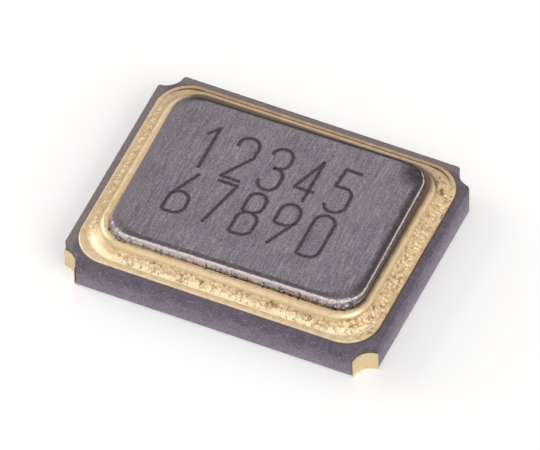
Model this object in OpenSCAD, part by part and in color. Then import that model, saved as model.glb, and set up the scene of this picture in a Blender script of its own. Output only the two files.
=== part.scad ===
// Surface-mount quartz crystal in a seam-sealed ceramic package.
// Millimetres, +Z up. The origin is the middle of the soldering plane, X runs along the long side.

/* [Ceramic base] */
// Length of the base, along X
base_l = 3.2; // [2.9:0.05:4.0]
// Width of the base, along Y
base_w = 2.5; // [2.3:0.05:3.2]
// Height of the fired ceramic, without its terminals
base_h = 0.31; // [0.27:0.01:0.5]
// Radius of the quarter-round castellation at each corner
notch_r = 0.185; // [0.1:0.005:0.2]
// Radius to which the ceramic is worn where a castellation meets a side
horn_r = 0.03; // [0.01:0.005:0.04]
// Width of the bevel that the snapped scribe line leaves along each top edge
scribe_w = 0.015; // [0.01:0.005:0.05]
// Height of that bevel
scribe_h = 0.015; // [0.01:0.005:0.05]

/* [Cavity] */
// Thickness of the ceramic walls round the cavity
cavity_wall = 0.52; // [0.5:0.01:0.6]
// Thickness of the ceramic under the cavity
floor_t = 0.14; // [0.1:0.01:0.16]
// Corner radius of the cavity
cavity_r = 0.12; // [0.05:0.01:0.2]

/* [Seal band] */
// Bare ceramic between the seal band and the edge of the base
band_gap = 0.075; // [0.06:0.001:0.09]
// Thickness of the plated metal band on the ceramic
band_t = 0.02; // [0.01:0.005:0.04]
// Outer corner radius of the band
band_r = 0.34; // [0.3:0.01:0.5]

/* [Seal ring] */
// Distance from the band's outer edge to the ring
ring_gap = 0.152; // [0.14:0.001:0.17]
// Width of the ring's wall
ring_wall = 0.25; // [0.2:0.01:0.27]
// Height of the ring
ring_h = 0.115; // [0.1:0.005:0.2]
// Outer corner radius of the ring
ring_r = 0.33; // [0.3:0.01:0.4]
// Bevel along the ring's outer top edge
ring_bevel = 0.02; // [0.01:0.005:0.03]

/* [Braze] */
// Thickness of the braze between the ring and the band
braze_t = 0.015; // [0.01:0.005:0.03]
// Bare band left outside the braze fillet
fillet_gap = 0.023; // [0.01:0.001:0.06]
// How far the fillet climbs up the ring above the braze layer
fillet_h = 0.075; // [0.05:0.005:0.08]

/* [Lid] */
// Width of the ring's ledge that the lid leaves bare
lid_ledge = 0.1; // [0.06:0.01:0.15]
// Thickness of the lid
lid_t = 0.08; // [0.05:0.005:0.12]
// Corner radius of the lid
lid_r = 0.27; // [0.2:0.01:0.35]
// Width of the track that the welding rollers press along each edge
track_w = 0.055; // [0.03:0.005:0.08]
// Drop of the track from the lid's face to its edge
track_h = 0.015; // [0.005:0.005:0.03]
// Angle that the lid lies askew on the ring, in degrees
lid_turn = 1; // [-2:0.5:2]

/* [Quartz blank] */
// Gap between the blank's glued end and the cavity wall
glued_gap = 0.2; // [0.18:0.01:0.22]
// Gap between the blank's free end and the cavity wall
free_gap = 0.2; // [0.15:0.01:0.3]
// Gap between each side of the blank and the cavity wall
side_gap = 0.18; // [0.17:0.01:0.22]
// Thickness of the blank
blank_t = 0.066; // [0.04:0.002:0.08]
// Bare quartz at each end of the electrodes
bare_l = 0.33; // [0.25:0.01:0.45]
// Bare quartz at each side of the electrodes
bare_w = 0.15; // [0.1:0.01:0.2]
// Thickness of each electrode film
electrode_t = 0.005; // [0.004:0.001:0.01]
// Width of the tab that leads each electrode to the glued end
tab_w = 0.28; // [0.2:0.01:0.34]

/* [Mount pads and glue] */
// Length of each mount pad, along X
pad_l = 0.32; // [0.3:0.01:0.34]
// Width of each mount pad
pad_w = 0.36; // [0.34:0.01:0.4]
// Thickness of the printed metal inside the cavity
print_t = 0.02; // [0.01:0.005:0.03]
// Width of the printed traces along the cavity floor
trace_w = 0.1; // [0.1:0.01:0.12]
// Gap between the traces and the cavity wall
trace_gap = 0.05; // [0.03:0.01:0.06]
// Height of the glue between a mount pad and the blank
glue_h = 0.03; // [0.02:0.005:0.035]
// Bare metal left round each dot of conductive glue
glue_gap = 0.02; // [0.01:0.005:0.03]

/* [Terminals and vias] */
// Length of each soldering terminal, along X
terminal_l = 0.95; // [0.8:0.01:1.1]
// Width of each soldering terminal
terminal_w = 0.8; // [0.72:0.01:0.9]
// Thickness of the terminal metal
terminal_t = 0.01; // [0.005:0.005:0.04]
// Gap between each terminal and the edge of the base
terminal_gap = 0.045; // [0.03:0.005:0.06]
// Height to which the castellations are plated above the soldering plane
plating_h = 0.22; // [0.15:0.01:0.24]
// Thickness of the plating in the castellations
plating_t = 0.015; // [0.01:0.005:0.03]
// Radius of the metal-filled vias
via_r = 0.045; // [0.03:0.005:0.05]
// Distance from a terminal's inner end to the middle of its via
via_inset = 0.12; // [0.08:0.01:0.2]

/* [Hidden] */
$fn = 64;

// Longer than any cut has to be
past = 1;
gold = [0.82, 0.69, 0.5];
tungsten = [0.45, 0.44, 0.43];

// Heights of the stack, from the soldering plane upwards
floor_z = terminal_t + floor_t;
rim_z = terminal_t + base_h;
braze_z = rim_z + band_t;
ring_z = braze_z + braze_t;
lid_z = ring_z + ring_h;
print_z = floor_z + print_t;
blank_z = print_z + glue_h;

// Outlines, each stepped in from the one below it
cavity_l = base_l - 2 * cavity_wall;
cavity_w = base_w - 2 * cavity_wall;
band_l = base_l - 2 * band_gap;
band_w = base_w - 2 * band_gap;
ring_l = band_l - 2 * ring_gap;
ring_w = band_w - 2 * ring_gap;
ring_in_l = ring_l - 2 * ring_wall;
ring_in_w = ring_w - 2 * ring_wall;
lid_l = ring_l - 2 * lid_ledge;
lid_w = ring_w - 2 * lid_ledge;
fillet_w = ring_gap - fillet_gap;

// The blank, its two mount pads at the -X end and the traces on the floor
blank_l = cavity_l - glued_gap - free_gap;
blank_w = cavity_w - 2 * side_gap;
glued_x = glued_gap - cavity_l / 2;
pad_y = blank_w / 2 - pad_w / 2;
glue_r = pad_l / 2 - glue_gap;
trace_y = cavity_w / 2 - trace_gap - trace_w / 2;
electrode_l = blank_l - 2 * bare_l;

// Angle at the base's corner between a side and the end of the castellation's round
horn_turn = asin(horn_r / (notch_r + horn_r));

// Vias stand over the terminals: two under the traces, two in the long walls
via_x = base_l / 2 - terminal_gap - terminal_l + via_inset;
ground_y = base_w / 2 - cavity_wall / 2;

// The corners in the order of the terminals, anticlockwise from above
corners = [[-1, -1], [1, -1], [1, 1], [-1, 1]];

// Rectangle with round corners
module round_rect(l, w, r) {
    square([l - 2 * r, w], center = true);
    square([l, w - 2 * r], center = true);
    for (c = corners) translate([c[0] * (l / 2 - r), c[1] * (w / 2 - r)]) circle(r);
}

// Plate with round corners whose walls lean in by inset over its height
module tapered_plate(l, w, r, h, inset) {
    half_x = l / 2 - r;
    half_y = w / 2 - r;
    for (c = corners) translate([c[0] * half_x, c[1] * half_y, 0]) cylinder(h = h, r1 = r, r2 = r - inset);
    along_x(half_x) trapezium(w, h, inset);
    rotate(90) along_x(half_y) trapezium(l, h, inset);
}

module trapezium(w, h, inset) {
    polygon([[-w / 2, 0], [w / 2, 0], [w / 2 - inset, h], [inset - w / 2, h]]);
}

// Runs a section drawn in Y and Z along X, by half to each side
module along_x(half) {
    rotate([90, 0, 90]) translate([0, 0, -half]) linear_extrude(2 * half) children();
}

// Runs a section round the outside of a rectangle with round corners
module around(l, w, r) {
    half_x = l / 2 - r;
    half_y = w / 2 - r;
    for (turn = [0, 180]) rotate(turn) {
        translate([0, half_y, 0]) along_x(half_x) translate([r, 0]) children();
        rotate(90) translate([0, half_x, 0]) along_x(half_y) translate([r, 0]) children();
        translate([half_x, half_y, 0]) rotate_extrude(angle = 90) translate([r, 0]) children();
        translate([-half_x, half_y, 0]) rotate(90)
            rotate_extrude(angle = 90) translate([r, 0]) children();
    }
}

// Puts what is drawn for a corner that looks to +X and +Y on corner i of the base
module at_corner(i) {
    translate([corners[i][0] * base_l / 2, corners[i][1] * base_w / 2, 0]) rotate(90 * (i - 2)) children();
}

// Cutters that round off the ceramic at both ends of a castellation
module horn_cutters() {
    horn_cutter();
    mirror([1, -1, 0]) horn_cutter();
}

module horn_cutter() {
    reach = (notch_r + horn_r) * cos(horn_turn);
    linear_extrude(rim_z + past) difference() {
        polygon([[-reach, -horn_r], [0, 0], [0, past], [-reach, past]]);
        translate([-reach, -horn_r]) circle(horn_r);
    }
}

module ceramic_base() {
    color([0.42, 0.38, 0.44]) difference() {
        translate([0, 0, terminal_t]) linear_extrude(base_h) square([base_l, base_w], center = true);
        translate([0, 0, floor_z]) linear_extrude(base_h) round_rect(cavity_l, cavity_w, cavity_r);
        for (i = [0:3]) at_corner(i) {
            cylinder(h = rim_z + past, r = notch_r);
            horn_cutters();
        }
        scribe_bevels(base_l, base_w);
        rotate(90) scribe_bevels(base_w, base_l);
        signal_via_1();
        signal_via_3();
        ground_via_2();
        ground_via_4();
    }
}

// Cutters for the bevels of the two top edges that run along X on an l by w base
module scribe_bevels(l, w) {
    for (turn = [0, 180]) rotate(turn) along_x(l / 2 + past) translate([w / 2, rim_z])
        polygon([[-scribe_w, 0], [0, -scribe_h], [past, -scribe_h], [past, past], [-scribe_w, past]]);
}

module seal_band() {
    color(gold) translate([0, 0, rim_z]) linear_extrude(band_t) difference() {
        round_rect(band_l, band_w, band_r);
        round_rect(ring_in_l, ring_in_w, cavity_r);
    }
}

module braze_joint() {
    color(gold) difference() {
        translate([0, 0, braze_z]) {
            linear_extrude(braze_t) round_rect(ring_l, ring_w, ring_r);
            around(ring_l, ring_w, ring_r) fillet_section();
        }
        ring_opening();
    }
}

// Concave fillet with a low upright toe, its back against the ring and its foot in the braze layer
module fillet_section() {
    arc_r = (fillet_w * fillet_w + fillet_h * fillet_h) / (2 * fillet_h);
    translate([-ring_wall / 2, 0]) square([ring_wall / 2 + fillet_w, braze_t]);
    difference() {
        square([fillet_w, braze_t + fillet_h]);
        translate([fillet_w, braze_t + arc_r]) circle(arc_r);
    }
}

module ring_opening() {
    translate([0, 0, rim_z]) linear_extrude(past) round_rect(ring_in_l, ring_in_w, cavity_r);
}

module seal_ring() {
    color(gold) difference() {
        union() {
            translate([0, 0, ring_z]) linear_extrude(ring_h - ring_bevel)
                round_rect(ring_l, ring_w, ring_r);
            translate([0, 0, lid_z - ring_bevel])
                tapered_plate(ring_l, ring_w, ring_r, ring_bevel, ring_bevel);
        }
        ring_opening();
    }
}

module lid() {
    color([0.52, 0.5, 0.52]) translate([0, 0, lid_z]) rotate(lid_turn) {
        linear_extrude(lid_t - track_h) round_rect(lid_l, lid_w, lid_r);
        translate([0, 0, lid_t - track_h]) tapered_plate(lid_l, lid_w, lid_r, track_h, track_w);
    }
}

module quartz_blank() {
    color([0.85, 0.88, 0.9, 0.5]) translate([glued_x, -blank_w / 2, blank_z])
        cube([blank_l, blank_w, blank_t]);
}

// Film with a tab to the glued end, at the side of the blank that side gives
module electrode(side) {
    color([0.85, 0.85, 0.84]) linear_extrude(electrode_t) {
        translate([glued_x + bare_l, bare_w - blank_w / 2]) square([electrode_l, blank_w - 2 * bare_w]);
        translate([glued_x, side * pad_y - tab_w / 2]) square([blank_l / 2, tab_w]);
    }
}

module top_electrode() {
    translate([0, 0, blank_z + blank_t]) electrode(-1);
}

module bottom_electrode() {
    translate([0, 0, blank_z - electrode_t]) electrode(1);
}

// Dome of conductive glue on a mount pad, wrapped round the end of the blank
module glue_dot(side) {
    color([0.7, 0.68, 0.64]) difference() {
        translate([glued_x, side * pad_y, print_z]) intersection() {
            sphere(glue_r);
            cylinder(h = glue_r, r = glue_r);
        }
        quartz_blank();
        top_electrode();
        bottom_electrode();
    }
}

module glue_dot_1() {
    glue_dot(-1);
}

module glue_dot_2() {
    glue_dot(1);
}

// Printed pad with its lead to the trace, which runs along the wall to the via at end_x
module mount_pad(side, end_x) {
    from_x = min(glued_x, end_x) - trace_w / 2;
    color(gold) translate([0, 0, floor_z]) linear_extrude(print_t) {
        translate([glued_x, side * pad_y]) square([pad_l, pad_w], center = true);
        translate([glued_x, side * (pad_y + trace_y) / 2])
            square([trace_w, trace_y - pad_y + trace_w], center = true);
        translate([from_x, side * trace_y - trace_w / 2]) square([abs(end_x - glued_x) + trace_w, trace_w]);
    }
}

module mount_pad_1() {
    mount_pad(-1, -via_x);
}

module mount_pad_2() {
    mount_pad(1, via_x);
}

// Metal-filled hole up from the underside of the ceramic
module via(x, y, top) {
    color(tungsten) translate([x, y, terminal_t]) cylinder(h = top - terminal_t, r = via_r);
}

module signal_via_1() {
    via(-via_x, -trace_y, floor_z);
}

module signal_via_3() {
    via(via_x, trace_y, floor_z);
}

module ground_via_2() {
    via(via_x, -ground_y, rim_z);
}

module ground_via_4() {
    via(-via_x, ground_y, rim_z);
}

// Soldering terminal at corner i, with the plating up its castellation
module terminal(i) {
    color(gold) {
        difference() {
            translate([corners[i][0] * (base_l / 2 - terminal_gap - terminal_l / 2),
                       corners[i][1] * (base_w / 2 - terminal_gap - terminal_w / 2), 0])
                linear_extrude(terminal_t) square([terminal_l, terminal_w], center = true);
            at_corner(i) cylinder(h = past, r = notch_r - plating_t / 2);
        }
        at_corner(i) linear_extrude(plating_h) intersection() {
            difference() {
                circle(notch_r);
                circle(notch_r - plating_t);
            }
            polygon([[0, 0], [-cos(horn_turn), -sin(horn_turn)], [-1, -1], [-sin(horn_turn), -cos(horn_turn)]]);
        }
    }
}

module terminal_1() {
    terminal(0);
}

module terminal_2() {
    terminal(1);
}

module terminal_3() {
    terminal(2);
}

module terminal_4() {
    terminal(3);
}

ceramic_base();
seal_band();
braze_joint();
seal_ring();
lid();
quartz_blank();
top_electrode();
bottom_electrode();
glue_dot_1();
glue_dot_2();
mount_pad_1();
mount_pad_2();
signal_via_1();
signal_via_3();
ground_via_2();
ground_via_4();
terminal_1();
terminal_2();
terminal_3();
terminal_4();
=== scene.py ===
import bmesh
import bpy
import math
from mathutils import Matrix, Vector


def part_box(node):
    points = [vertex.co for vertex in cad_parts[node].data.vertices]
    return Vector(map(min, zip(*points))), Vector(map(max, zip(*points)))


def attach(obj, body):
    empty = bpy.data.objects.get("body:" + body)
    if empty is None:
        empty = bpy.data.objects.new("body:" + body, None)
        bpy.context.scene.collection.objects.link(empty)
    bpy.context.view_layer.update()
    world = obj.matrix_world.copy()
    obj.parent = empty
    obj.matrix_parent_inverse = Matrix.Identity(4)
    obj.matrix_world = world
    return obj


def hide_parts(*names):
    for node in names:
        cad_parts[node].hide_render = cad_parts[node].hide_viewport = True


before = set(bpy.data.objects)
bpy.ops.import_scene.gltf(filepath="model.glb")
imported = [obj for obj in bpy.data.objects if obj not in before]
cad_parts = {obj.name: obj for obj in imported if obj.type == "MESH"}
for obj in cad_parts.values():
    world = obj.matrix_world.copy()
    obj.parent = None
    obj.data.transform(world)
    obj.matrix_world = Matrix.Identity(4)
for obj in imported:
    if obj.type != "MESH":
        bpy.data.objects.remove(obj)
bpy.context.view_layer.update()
mm = 0.001  # sizes are written in millimetres, the scene is in metres
print("frame loaded:", len(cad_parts), "nodes")


def boxOf(node):
    low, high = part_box(node)
    return [value / mm for value in low], [value / mm for value in high]


def sidesOf(node):
    (left, front, bottom), (right, back, top) = boxOf(node)
    return left, right, front, back


def linearColor(hexText):
    channels = [int(hexText[i:i + 2], 16) / 255 for i in (1, 3, 5)]
    return [c / 12.92 if c <= 0.04045 else ((c + 0.055) / 1.055) ** 2.4 for c in channels] + [1]


def setSockets(node, links):
    # by name, or in order from a list; a hex colour turns linear and a node stands for its first output
    live = [socket for socket in node.inputs if socket.enabled]
    for place, value in links.items() if isinstance(links, dict) else enumerate(links):
        socket = live[place] if isinstance(place, int) else next(s for s in live if s.name == place)
        if isinstance(value, bpy.types.Node):
            value = next(output for output in value.outputs if output.enabled)
        if isinstance(value, bpy.types.NodeSocket):
            node.id_data.links.new(value, socket)
        elif isinstance(value, str) and value.startswith("#"):
            socket.default_value = linearColor(value)
        else:
            socket.default_value = value


def adderFor(tree):
    # gives the one function that adds a node to this tree, with its links and settings; a short kind is a
    # shader node's
    def add(kind, links=(), **settings):
        whole = kind.startswith(("Geometry", "Function", "NodeGroup"))
        node = tree.nodes.new(kind if whole else "ShaderNode" + kind)
        for name, value in settings.items():
            setattr(node, name, value)
        setSockets(node, links)
        return node

    return add


def addObject(name, data):
    made = bpy.data.objects.new(name, data)
    bpy.context.scene.collection.objects.link(made)
    return made


def evaluatedMesh(piece):
    graph = bpy.context.evaluated_depsgraph_get()
    return bpy.data.meshes.new_from_object(piece.evaluated_get(graph))


# an outline is a closed loop, anticlockwise from the front right corner, stepped like this
plainSteps = {"corner": 26, "short": 120, "long": 170}
fineSteps = {"corner": 80, "short": 250, "long": 380}


def straightSteps(quarter, steps):
    return steps["long"] if quarter % 2 else steps["short"]


def fourOf(value):
    return value if isinstance(value, (list, tuple)) else [value] * 4


def arcPoints(centre, radius, first, last, steps, height=0):
    angles = [math.radians(first + (last - first) * i / steps) for i in range(steps + 1)]
    return [Vector((centre[0] + radius * math.cos(angle), centre[1] + radius * math.sin(angle), height))
            for angle in angles]


def joinedCorners(corners, steps):
    points = []
    for quarter, corner in enumerate(corners):
        end = corners[(quarter + 1) % 4][0]
        count = straightSteps(quarter, steps)
        points += corner + [corner[-1].lerp(end, i / count) for i in range(1, count)]
    return points


def cornerSpots(sides):
    left, right, front, back = sides
    return (right, front), (right, back), (left, back), (left, front)


def roundedLoop(sides, radius, height, steps=fineSteps):
    # the radius is one number, or one for each corner
    corners = []
    for quarter, ((x, y), turn) in enumerate(zip(cornerSpots(sides), fourOf(radius))):
        centre = (x - turn if quarter < 2 else x + turn, y + turn if quarter in (0, 3) else y - turn)
        corners.append(arcPoints(centre, turn, 90 * quarter - 90, 90 * quarter, steps["corner"], height))
    return joinedCorners(corners, steps)


def outwardNormals():
    # one for each point of a finely stepped rounded loop
    normals = []
    for quarter in range(4):
        normals += arcPoints((0, 0), 1, 90 * quarter - 90, 90 * quarter, fineSteps["corner"])
        normals += [normals[-1]] * (straightSteps(quarter, fineSteps) - 1)
    return normals


def byCorner(normal, weights):
    # weights are for the front right, back right, back left and front left, strongest in the corner's middle
    frontRight, backRight, backLeft, frontLeft = weights
    front, back = (frontRight, backRight) if normal.x > 0 else (frontLeft, backLeft)
    return (front if normal.y < 0 else back) * 4 * normal.x ** 2 * normal.y ** 2


def bySide(normal, weights):
    # weights are for the left, right, front and back, blended round the corners
    left, right, front, back = weights
    alongX = left if normal.x < 0 else right
    alongY = front if normal.y < 0 else back
    return alongX * normal.x ** 2 + alongY * normal.y ** 2


def between(keys, at):
    # the value at a place between key points, eased from each to the next
    for (x0, y0), (x1, y1) in zip(keys, keys[1:]):
        if at <= x1:
            part = min(1, max(0, (at - x0) / (x1 - x0)))
            return y0 + (y1 - y0) * part * part * (3 - 2 * part)
    return keys[-1][1]


def insetSides(sides, insets):
    return [side + way * inset for side, way, inset in zip(sides, (1, -1, 1, -1), fourOf(insets))]


def addMask(mesh, name, values):
    mesh.attributes.new(name, "FLOAT", "POINT").data.foreach_set("value", values)


def loftMesh(name, loops, capped, masks={}):
    # loops run outwards and down, or round a closed section; each mask has a value for each point
    count = len(loops[0])
    faces = []
    for row in range(len(loops) - 1 if capped else len(loops)):
        here, there = row * count, (row + 1) % len(loops) * count
        for i in range(count):
            after = (i + 1) % count
            faces.append((here + i, there + i, there + after, here + after))
    if capped:
        faces.append(tuple(range(count)))
        faces.append(tuple(reversed(range((len(loops) - 1) * count, len(loops) * count))))
    mesh = bpy.data.meshes.new(name)
    mesh.from_pydata([point * mm for loop in loops for point in loop], [], faces)
    for label, values in masks.items():
        addMask(mesh, label, values)
    return mesh


def prismMesh(name, outline, bottom, top):
    loops = [[Vector((*point.xy, height)) for point in outline] for height in (top, bottom)]
    return loftMesh(name, loops, True)


def combined(piece, operation, meshes):
    # takes each mesh away from the piece, or joins it on
    for mesh in meshes:
        other = addObject("other", mesh)
        change = piece.modifiers.new("change", "BOOLEAN")
        change.operation = operation
        change.solver = "EXACT"
        change.object = other
        made = evaluatedMesh(piece)
        piece.modifiers.remove(change)
        bpy.data.objects.remove(other)
        piece.data = made
    return piece


def recalculated(piece):
    work = bmesh.new()
    work.from_mesh(piece.data)
    bmesh.ops.recalc_face_normals(work, faces=work.faces)
    work.to_mesh(piece.data)
    work.free()
    return piece


def newTree(name, inputs):
    tree = bpy.data.node_groups.new(name, "GeometryNodeTree")
    tree.is_modifier = True
    tree.interface.new_socket("Geometry", in_out="OUTPUT", socket_type="NodeSocketGeometry")
    tree.interface.new_socket("Geometry", in_out="INPUT", socket_type="NodeSocketGeometry")
    for label, kind in inputs.items():
        tree.interface.new_socket(label, in_out="INPUT", socket_type="NodeSocket" + kind)
    return tree, adderFor(tree), tree.nodes.new("NodeGroupInput").outputs


def finishTree(add, geometry, finish):
    smooth = add("GeometryNodeSetShadeSmooth", {"Geometry": geometry})
    real = add("GeometryNodeRealizeInstances", {"Geometry": smooth})
    painted = add("GeometryNodeSetMaterial", {"Geometry": real, "Material": finish})
    add("NodeGroupOutput", {"Geometry": painted})


def runTree(name, tree, values, mesh=None):
    maker = addObject(name + "Maker", mesh or bpy.data.meshes.new(name + "Source"))
    modifier = maker.modifiers.new(tree.name, "NODES")
    modifier.node_group = tree
    for socket in tree.interface.items_tree:
        if socket.in_out == "INPUT" and socket.name in values:
            modifier[socket.identifier] = values[socket.name]
    made = evaluatedMesh(maker)
    bpy.data.objects.remove(maker)
    return addObject(name, made)


reliefLayers = ("Swell", "Grain", "Fine")


def makeRoughenTree():
    # swells, grains and a fine noise push a surface in and out, as far as its relief mask lets them
    measures = [layer + measure for layer in reliefLayers for measure in (" Size", " Height")]
    tree, add, given = newTree("roughen", {
        **dict.fromkeys(measures, "Float"), "Seed": "Float", "Finish": "Material"})
    position = add("GeometryNodeInputPosition")
    pattern = {}
    for layer in reliefLayers:
        scale = add("Math", [1.0, given[layer + " Size"]], operation="DIVIDE")
        points = add("VectorMath", [position, scale], operation="SCALE")
        if layer == "Grain":
            cells = add("TexVoronoi", {
                "Vector": points, "W": given["Seed"], "Scale": 1.0, "Smoothness": 0.4},
                voronoi_dimensions="4D", feature="SMOOTH_F1")
            pattern[layer] = add("Math", [cells, -2.6, 1.2], operation="MULTIPLY_ADD")
        else:
            noise = add("TexNoise", {
                "Vector": points, "W": given["Seed"], "Scale": 1.0, "Detail": 1.0}, noise_dimensions="4D")
            pattern[layer] = add("Math", [noise, 3.0, -1.5], operation="MULTIPLY_ADD")
    height = 0.0
    for layer in reliefLayers:
        height = add("Math", [pattern[layer], given[layer + " Height"], height], operation="MULTIPLY_ADD")
    # some stretches stay calmer than others
    calmer = add("MapRange", [pattern["Swell"], -0.6, 0.4, 0.4, 1.25])
    relief = add("GeometryNodeInputNamedAttribute", {"Name": "relief"})
    relief = add("Math", [relief, calmer], operation="MULTIPLY")
    height = add("Math", [height, relief], operation="MULTIPLY")
    normal = add("GeometryNodeInputNormal")
    push = add("VectorMath", [normal, height], operation="SCALE")
    # the material colours the lumps by this: paler tops as painted highlight, deeper hollows as painted
    # shade
    lump = add("Math", [pattern["Swell"], 0.7, pattern["Grain"]], operation="MULTIPLY_ADD")
    lump = add("Math", [pattern["Fine"], 0.6, lump], operation="MULTIPLY_ADD")
    lump = add("Math", [lump, relief], operation="MULTIPLY")
    kept = add("GeometryNodeStoreNamedAttribute", {
        "Geometry": given["Geometry"], "Name": "lump", "Value": lump})
    moved = add("GeometryNodeSetPosition", {"Geometry": kept, "Offset": push})
    finishTree(add, moved, given["Finish"])
    return tree


roughenTree = makeRoughenTree()


def roughened(name, mesh, look, finish):
    # the look has a size and a height for each layer
    values = {"Seed": look["seed"], "Finish": finish}
    for layer in reliefLayers:
        size, height = look[layer.lower()]
        values[layer + " Size"], values[layer + " Height"] = size * mm, height * mm
    return runTree(name, roughenTree, values, mesh)


def place(piece, node, slot=None):
    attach(piece, "root")
    if node:
        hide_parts(node)
    print("piece made:", piece.name, len(piece.data.polygons), "faces")
    return piece


def newMaterial(name):
    material = bpy.data.materials.new(name)
    material.use_nodes = True
    return material, adderFor(material.node_tree), material.node_tree.nodes["Principled BSDF"]


def objectPoints(add, scale=(1000, 1000, 1000), turn=0):
    # Object coordinates in millimetres, stretched where a pattern runs one way
    coordinates = add("TexCoord").outputs["Object"]
    return add("Mapping", {"Vector": coordinates, "Scale": scale, "Rotation": (0, 0, math.radians(turn))})


def coated(add, color, coats):
    # each coat is a pattern, the levels where it starts and is at its most, how much that is, and a colour
    for pattern, start, full, most, coat in coats:
        amount = add("MapRange", [pattern, start, full, 0.0, most])
        color = add("Mix", [amount, color, coat], data_type="RGBA")
    return color


aluminaLook = {
    "color": "#5d5062", "dark": "#463b4b", "speck": "#9c90a1", "bouncePale": "#ab9faf", "warm": "#7d6e69",
    "grainSize": 0.02, "grainHeight": 0.004, "fleckSize": 0.022,  # drawn coarser than real, to show
    "mottleSize": 0.1111, "hazedBehind": 1.13, "hazedLeft": -1.48}


def pigmentedAlumina():
    # dark fired alumina: dull and close-grained, with pale crystal flecks, and paler towards the bottom, a
    # painted bounce light from the floor
    look = aluminaLook
    material, add, shader = newMaterial("pigmentedAlumina")
    points = objectPoints(add)
    spot = add("SeparateXYZ", [points]).outputs
    mottle = add("TexNoise", {"Vector": points, "Scale": 1 / look["mottleSize"], "Detail": 3.0})
    grain = add("TexNoise", {"Vector": points, "Scale": 1 / look["grainSize"], "Roughness": 0.6})
    fleck = add("TexNoise", {
        "Vector": points, "Scale": 1 / look["fleckSize"], "Detail": 3.0, "Roughness": 0.7})
    # the lower faces are painted paler, standing in for light bounced up from the floor
    height = add("Math", [spot["Z"], 0.06], operation="ADD")
    height = add("Math", [mottle, -0.12, height], operation="MULTIPLY_ADD")
    # the margins behind and to the left are hazed by the plating bath
    behind = add("Math", [spot["Y"], look["hazedBehind"]], operation="SUBTRACT")
    beside = add("Math", [look["hazedLeft"], spot["X"]], operation="SUBTRACT")
    hazed = add("Math", [behind, beside], operation="MAXIMUM")
    fewerOnTop = add("MapRange", [spot["Z"], 0.318, 0.31, 0.35, 0.8])
    color = coated(add, look["dark"], [
        (mottle, 0.35, 0.68, 1.0, look["color"]),
        (height, 0.26, 0.0, 0.7, look["bouncePale"]),
        (hazed, 0.0, 0.05, 0.8, look["warm"]),
        (grain, 0.52, 0.25, 0.8, look["dark"]),
        (fleck, 0.52, 0.7, fewerOnTop, look["speck"])])
    roughness = add("MapRange", [grain, 0.3, 0.7, 0.5, 0.7])
    grained = add("Bump", {"Height": grain, "Distance": look["grainHeight"] * mm, "Strength": 0.8})
    setSockets(shader, {"Base Color": color, "Roughness": roughness, "IOR": 1.65, "Normal": grained})
    return material


goldLook = {
    "color": "#d7bc93", "pale": "#f1deb9", "brown": "#705b4a", "deep": "#765827", "blotchSize": 0.0714}


def goldPlating(name, roughness, grainSize, grainHeight, hue=goldLook["color"]):
    # thin matt gold over nickel, browned where it got hot; a painted highlight makes the front-facing parts,
    # shoulders and lump tops paler, and painted shade darkens the hollows, creases, printed edges and the
    # ring beside the lid
    look = goldLook
    material, add, shader = newMaterial(name)
    points = objectPoints(add)
    blotch = add("TexNoise", {"Vector": points, "Scale": 1 / look["blotchSize"], "Detail": 3.0})
    grain = add("TexNoise", {"Vector": points, "Scale": 1 / grainSize, "Detail": 3.0, "Roughness": 0.6})
    lump, thick, burnt = [add("Attribute", attribute_name=mask).outputs["Fac"]
                          for mask in ("lump", "thick", "burnt")]
    # the thick mask is a painted highlight, paler on front-facing parts and shoulders; the blotches add a
    # random paler tone
    blotchy = add("MapRange", [blotch, 0.35, 0.7, 0.0, 0.25])
    thick = add("Math", [blotchy, thick], operation="ADD")
    stain = add("Math", [burnt, -0.25], operation="ADD")
    stain = add("Math", [blotch, 0.5, stain], operation="MULTIPLY_ADD")
    stained = add("MapRange", [burnt, 0.0, 0.15])
    color = coated(add, hue, [
        (thick, 0.0, 1.0, 1.0, look["pale"]),
        # lump tops paler, a painted highlight; lump hollows deeper, a painted shade
        (lump, 0.2, 1.3, 0.7, look["pale"]),
        (lump, -0.2, -1.3, 0.9, look["deep"]),
        (grain, 0.45, 0.25, 0.3, look["deep"]),
        # the burnt mask is heat tint and stains, and also painted shade beside the lid, in creases and along
        # printed edges
        (stain, 0.1, 0.75, stained, look["brown"])])
    uneven = add("MapRange", [blotch, 0.3, 0.7, roughness * 0.85, roughness * 1.15])
    grained = add("Bump", {"Height": grain, "Distance": grainHeight * mm, "Strength": 1.0})
    setSockets(shader, {"Base Color": color, "Metallic": 1.0, "Roughness": uneven, "Normal": grained})
    return material


lidLook = {
    "color": "#847d84", "pale": "#a8a2a6", "violet": "#7a707c", "dark": "#554f53", "track": "#4f4749",
    "burnt": "#2f2b2c", "calm": "#83797f", "rim": "#d0c6c4", "foot": "#85776f",
    "streakWidth": 0.011, "streakLength": 0.16, "grainSize": 0.017,  # drawn coarser than real, to show
    "patchSize": 0.3125, "raggedSize": 0.0357, "pitSize": 0.05, "brushDepth": 0.0015,
    # burnt spots: x, y, radius and depth
    "burntSpots": ((1.2, 0.86, 0.19, 1.3), (-1.02, -0.86, 0.04, 0.8), (-0.98, -0.92, 0.03, 0.8),
                   (-0.19, -0.64, 0.02, 0.7))}


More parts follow.
